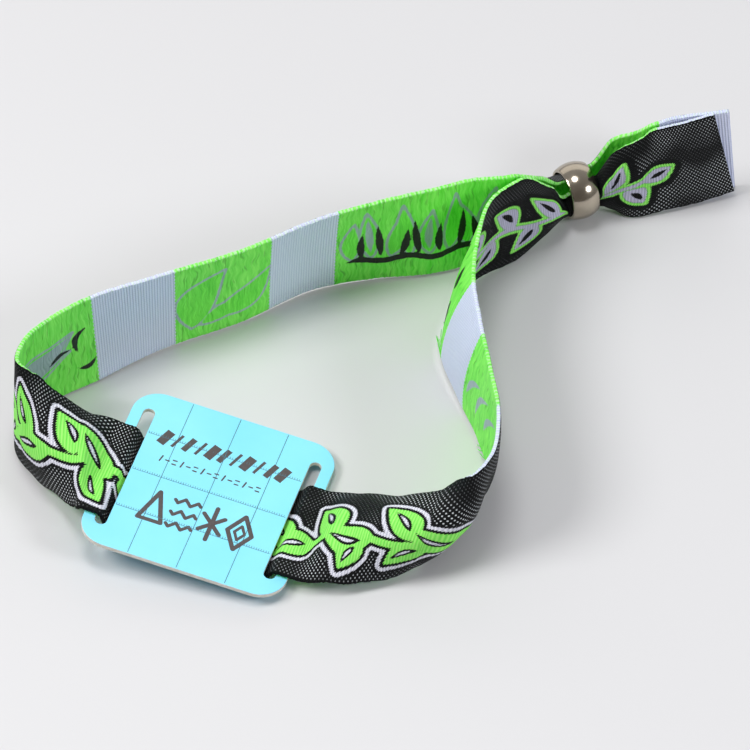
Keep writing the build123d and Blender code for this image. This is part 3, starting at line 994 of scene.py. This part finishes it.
def loose_threads():
    """Frayed threads along the edges: each leaves the cloth, runs beside it and ends free."""
    chance = random.Random(11)
    points, faces = [], []
    steps = 9
    for fray in FRAYS:
        for _ in range(fray.count):
            start = chance.uniform(fray.start, fray.end)
            run = -chance.uniform(0.3, 1.0) * fray.run
            reach = chance.uniform(0.25, 1.0) * fray.reach
            swing = chance.uniform(0.05, 0.25)
            inset = chance.uniform(0.2, 0.7)
            route = []
            for step in range(steps):
                share = step / (steps - 1)
                where = min(max(start + run * share, 1.0), cloth.along[-1] - 1.0)
                lift = CLOTH_THICKNESS / 2 + reach * share**1.3
                aside = 0.3 * reach * share - inset * (1 - share) + swing * math.sin(5 * share + start)
                route.append(by_edge(where, fray.edge, aside, lift))
            tube, sides = thread_tube(route, fray.radius)
            faces += [[len(points) + i for i in face] for face in sides]
            points += tube
    points = np.array(points)
    points[:, 2] = np.maximum(points[:, 2], FLOOR_GAP)
    return piece((points * MM).tolist(), faces)


GREEN_THREAD = mottled("thread_green", 700.0, (60, 190, 40), (140, 250, 100), (0.45, 0.65))
threads = put(loose_threads(), "loose_threads", GREEN_THREAD.material)


# Tag
def arc(x, y, radius, first, turn, steps):
    """Points round (x, y), from an angle on through a turn."""
    angles = [first + turn * step / steps for step in range(steps + 1)]
    return [(x + radius * math.cos(angle), y + radius * math.sin(angle)) for angle in angles]


def rounded_rectangle(length, width, radius):
    x, y = length / 2 - radius, width / 2 - radius
    points = []
    for quarter, (sx, sy) in enumerate(((1, 1), (-1, 1), (-1, -1), (1, -1))):
        points += arc(sx * x, sy * y, radius, quarter * math.pi / 2, math.pi / 2, 10)
    return points


def slot_outline(centre):
    radius = SLOT_WIDTH / 2
    reach = SLOT_LENGTH / 2 - radius
    return arc(centre, reach, radius, 0, math.pi, 8) + arc(centre, -reach, radius, math.pi, math.pi, 8)


def plate(name, outlines, bottom, top, rim):
    """A flat plate in the tag's plane from closed outlines, later ones cut out, with a small round rim."""
    curve = bpy.data.curves.new(name, "CURVE")
    curve.dimensions = "2D"
    curve.fill_mode = "BOTH"
    curve.extrude = ((top - bottom) / 2 - rim) * MM
    curve.bevel_depth = rim * MM
    curve.bevel_resolution = 2
    curve.offset = -rim * MM
    for outline in outlines:
        spline = curve.splines.new("POLY")
        spline.points.add(len(outline) - 1)
        for point, (x, y) in zip(spline.points, outline):
            point.co = (x * MM, y * MM, 0, 1)
        spline.use_cyclic_u = True
    holder = link(bpy.data.objects.new(name, curve))
    mesh = bpy.data.meshes.new_from_object(holder)
    bpy.data.objects.remove(holder)
    bpy.data.curves.remove(curve)
    place_on_tag(mesh, (bottom + top) / 2)
    return bpy.data.objects.new(name, mesh)


def place_on_tag(mesh, up):
    origin = Vector((tag_point(0, 0, up) + SHIFT) * MM)
    along, aside, upward = Vector(TAG_ALONG), Vector(TAG_ASIDE), Vector(TAG_UP)
    for vertex in mesh.vertices:
        x, y, z = vertex.co
        vertex.co = origin + along * x + aside * y + upward * z


def tag_plastic():
    look = mottled("tag_plastic", 60.0, (134, 222, 250), (146, 230, 254), (0.34, 0.44), 3.0, (0.3, 0.7))
    look.bump(noise(look.place(), 4200.0), 0.012, 0.35)
    return look.material


def tag_core():
    grain = 900.0
    look = mottled("tag_core", grain, (196, 190, 176), (236, 236, 230), (0.45, 0.65), 3.0)
    look.bump(noise(look.place(), grain, 3.0), 0.02, 0.5)
    return look.material


PLATE_RIM = 0.10
half_plate = TAG_THICKNESS / 2
tag = plate("tag_plate", [rounded_rectangle(TAG_LENGTH, TAG_WIDTH, TAG_CORNER_RADIUS),
                          slot_outline(SLOT_CENTRE), slot_outline(-SLOT_CENTRE)],
            -half_plate, half_plate, PLATE_RIM)
put(tag, "tag_plate", tag_plastic(), tag_core())
for polygon in tag.data.polygons:
    polygon.material_index = 1 if abs(polygon.normal.dot(Vector(TAG_UP))) < 0.3 else 0
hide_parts("rfid_tag")

# Print on the tag, in grid units: a is to the tag's right and b towards the front
GRID = 8.29
PRINT_HEIGHT = 0.012
PRINT_STEP = 0.004
grid_parts, ink_parts = [], []


def stroke(parts, points, width, closed=False):
    """Adds a line of a given width through points as flat bars with round ends."""
    following = points[1:] + points[:1] if closed else points[1:]
    for (x0, y0), (x1, y1) in zip(points, following):
        turn = math.atan2(y1 - y0, x1 - x0)
        parts.append(arc(x1, y1, width / 2, turn - math.pi / 2, math.pi, 6)
                     + arc(x0, y0, width / 2, turn + math.pi / 2, math.pi, 6))


def bar(parts, x0, y0, x1, y1, width):
    """Adds a straight bar with square ends."""
    length = math.hypot(x1 - x0, y1 - y0)
    nx, ny = -(y1 - y0) / length * width / 2, (x1 - x0) / length * width / 2
    parts.append([(x0 + nx, y0 + ny), (x0 - nx, y0 - ny), (x1 - nx, y1 - ny), (x1 + nx, y1 + ny)])


def grid_point(a, b):
    return (a * GRID, -b * GRID)


def print_mesh(parts):
    """Thin raised prisms on the tag's face from flat outlines."""
    points, faces = [], []
    for order, outline in enumerate(parts):
        first = len(points)
        count = len(outline)
        top = PRINT_HEIGHT + PRINT_STEP * (order % 5)
        points += [(x * MM, y * MM, 0.0) for x, y in outline]
        points += [(x * MM, y * MM, top * MM) for x, y in outline]
        faces.append([first + count + i for i in range(count)])
        faces.append([first + count - 1 - i for i in range(count)])
        faces += walls(2, count, first)
    flat_print = piece(points, faces, smooth=False)
    turn_outwards(flat_print.data)
    place_on_tag(flat_print.data, half_plate)
    return flat_print


def print_ink(name, dark, light):
    return mottled(name, 3000.0, dark, light, (0.40, 0.55)).material


edge_up = TAG_WIDTH / 2 / GRID - 0.03
between_slots = (SLOT_CENTRE - SLOT_WIDTH / 2 - 0.3) / GRID
TICK_PITCH = 0.05
TICK_LENGTH = 0.42
TICK_WIDTH = 0.07
WIDTH_DOWN = 0.11
WIDTH_ACROSS = 0.08
for line in (-1, 0, 1):
    bar(grid_parts, *grid_point(line, -edge_up), *grid_point(line, edge_up), WIDTH_DOWN)
    bar(grid_parts, *grid_point(-between_slots, line), *grid_point(between_slots, line), WIDTH_ACROSS)
    tick = -between_slots
    while tick < between_slots:
        x, y = grid_point(tick, line)
        bar(grid_parts, x, y, x, y + TICK_LENGTH, TICK_WIDTH)
        tick += TICK_PITCH

# A row of slanted bars of different widths
TITLE_BARS = (1.5, 0.5, 1.0, 0.5, 1.5, 1.0, 0.5, 1.5, 0.5, 1.0, 1.5)
for i, width in enumerate(TITLE_BARS):
    a = -1.24 + i * 0.245
    bar(ink_parts, *grid_point(a - 0.07, -0.83), *grid_point(a + 0.07, -1.19), width)

# A row of small marks: a slanted dash, a flat one and a pair of flat ones in turn
SMALL = 0.26
SMALL_MARKS = (
    ((0.00, -0.40, 0.03, -0.54),),
    ((-0.03, -0.46, 0.04, -0.46),),
    ((-0.03, -0.41, 0.04, -0.41), (-0.03, -0.51, 0.04, -0.51)),
)
for i in range(15):
    a = -1.17 + i * 0.145
    for a0, b0, a1, b1 in SMALL_MARKS[i % 3]:
        stroke(ink_parts, [grid_point(a + a0, b0), grid_point(a + a1, b1)], SMALL)

# A row of bold signs: a triangle, three ripples, a star and a rhomb in a rhomb
BOLD = 0.75
ROW = 0.74
peak = [(-1.12, 1.12), (-0.64, 1.12), (-0.88, 0.36)]
stroke(ink_parts, [grid_point(a, b) for a, b in peak], BOLD, closed=True)
for row in (0.42, ROW, 1.06):
    ripple = [(-0.55 + 0.065 * k, row + 0.07 * math.sin(k * math.pi / 2)) for k in range(9)]
    stroke(ink_parts, [grid_point(a, b) for a, b in ripple], 0.60)
for k in range(3):
    turn = math.pi * (k / 3 + 0.5)
    a, b = 0.25 * math.cos(turn), 0.42 * math.sin(turn)
    stroke(ink_parts, [grid_point(0.30 + a, ROW + b), grid_point(0.30 - a, ROW - b)], BOLD)
for size, width in ((1.0, BOLD), (0.42, 0.5)):
    rhomb = [(-0.25 * size, 0), (0, -0.44 * size), (0.25 * size, 0), (0, 0.44 * size)]
    stroke(ink_parts, [grid_point(0.88 + a, ROW + b) for a, b in rhomb], width, closed=True)

grid_print = put(print_mesh(grid_parts), "tag_grid", print_ink("grid_ink", (60, 104, 120), (84, 130, 146)))
ink_print = put(print_mesh(ink_parts), "tag_marks", print_ink("mark_ink", (66, 60, 62), (92, 84, 84)))


# Bead
BEAD_RIM_ROUND = 0.15
PROFILE_STEPS = 40


def bead_profile():
    """(along, radius) points of the bead's section: the outer curve, one rim, the hole and the other rim."""
    half = BEAD_LENGTH / 2
    sagitta = BEAD_RADIUS - BEAD_RIM_RADIUS
    curve_radius = (half**2 + sagitta**2) / (2 * sagitta)
    reach = math.asin((half - BEAD_RIM_ROUND) / curve_radius)
    outer = []
    for step in range(PROFILE_STEPS + 1):
        angle = reach * (2 * step / PROFILE_STEPS - 1)
        outer.append((curve_radius * math.sin(angle), BEAD_RADIUS - curve_radius * (1 - math.cos(angle))))
    right = [(half - 0.03, BEAD_RIM_RADIUS - 0.02), (half, BEAD_RIM_RADIUS - 0.10),
             (half, BORE_RADIUS + 0.10), (half - 0.03, BORE_RADIUS + 0.03), (half - 0.12, BORE_RADIUS)]
    left = [(-x, r) for x, r in reversed(right)]
    return outer + right + left


def build_bead():
    profile = bead_profile()
    turns = 128
    points = []
    for turn in range(turns):
        angle = 2 * math.pi * turn / turns
        spoke = BEAD_ASIDE * math.cos(angle) + UP * math.sin(angle)
        points += [((bead_point(along) + spoke * radius + SHIFT) * MM).tolist() for along, radius in profile]
    shell = piece(points, walls(turns, len(profile), closed=True))
    turn_outwards(shell.data)
    return shell


def bead_metal():
    look = mottled("bead_metal", 500.0, (166, 156, 140), (188, 178, 162), (0.13, 0.19), 3.0)
    look.set("Metallic", 1.0)
    look.bump(noise(look.place(), 2400.0), 0.004, 0.25)
    return look.material


bead = put(build_bead(), "bead_shell", bead_metal())
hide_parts("bead_slider")


# Floor, light and camera
def floor_paint():
    look = Look("floor_paint")
    look.set("Base Color", mix(noise(look.place(), 3.0), srgb(205, 205, 207), srgb(213, 213, 215)))
    look.set("Roughness", 0.55)
    return look.material


floor = link(piece([(-3, -3, 0), (3, -3, 0), (3, 3, 0), (-3, 3, 0)], [(0, 1, 2, 3)], smooth=False))
floor.name = "floor"
floor.data.materials.append(floor_paint())


def soft_light(name, shape, size, way, distance, power, colour, target=(0, 0, 0)):
    """An area light of a width and height that looks at a target from one way."""
    data = bpy.data.lights.new(name, "AREA")
    data.shape = shape
    data.size, data.size_y = size
    data.energy = power
    data.color = colour
    light = link(bpy.data.objects.new(name, data))
    way = Vector(way).normalized()
    light.location = Vector(target) + way * distance
    light.rotation_euler = way.to_track_quat("Z", "Y").to_euler()


for name, size, way, power, colour in (
        ("left_light", 0.34, (-0.67, -0.16, 0.72), 3.6, (1.0, 0.99, 0.98)),
        ("top_light", 0.26, (-0.12, 0.03, 0.99), 1.9, (1.0, 1.0, 1.0)),
        ("right_light", 0.24, (0.73, -0.40, 0.55), 2.4, (0.95, 0.97, 1.0))):
    soft_light(name, "DISK", (size, size), way, 0.80, power, colour, bead_middle * MM)
soft_light("back_light", "RECTANGLE", (3.0, 0.9), (-0.05, 0.90, 0.42), 1.5, 5.5, (1.0, 0.97, 0.92))

world = bpy.data.worlds.new("studio")
world.use_nodes = True
background = world.node_tree.nodes["Background"]
sky = Value(world.node_tree.nodes.new("ShaderNodeTexCoord").outputs["Generated"])
split = sky.beside("ShaderNodeSeparateXYZ")
connect(sky, split.inputs[0])
behind = Value(split.outputs["Y"]).mapped(-0.9, 0.9, 0.0, 1.0)
connect(mix(behind, (0.34, 0.32, 0.30, 1.0), (0.96, 0.97, 1.0, 1.0)), background.inputs["Color"])
connect(0.50, background.inputs["Strength"])
bpy.context.scene.world = world
bpy.context.scene.view_settings.view_transform = "Standard"

# The camera looks along +Y and down on the band from far away, as the photograph's does.
CAMERA_DISTANCE = 1.100
CAMERA_DROP = math.radians(48.5)
LOOK_AT = (19.17, 5.44)
SENSOR_WIDTH = 36.0
PICTURE_WIDTH = 750
PIXELS_TO_MM = 6.0
camera_data = bpy.data.cameras.new("camera")
camera_data.sensor_width = SENSOR_WIDTH
camera_data.lens = SENSOR_WIDTH * PIXELS_TO_MM * CAMERA_DISTANCE / MM / PICTURE_WIDTH
camera_data.clip_start = 0.05
camera = link(bpy.data.objects.new("camera", camera_data))
target = Vector(((LOOK_AT[0] + SHIFT[0]) * MM, (LOOK_AT[1] + SHIFT[1]) * MM, 0))
camera.location = target + Vector((0, -math.cos(CAMERA_DROP), math.sin(CAMERA_DROP))) * CAMERA_DISTANCE
camera.rotation_euler = (math.pi / 2 - CAMERA_DROP, 0, 0)
bpy.context.scene.camera = camera
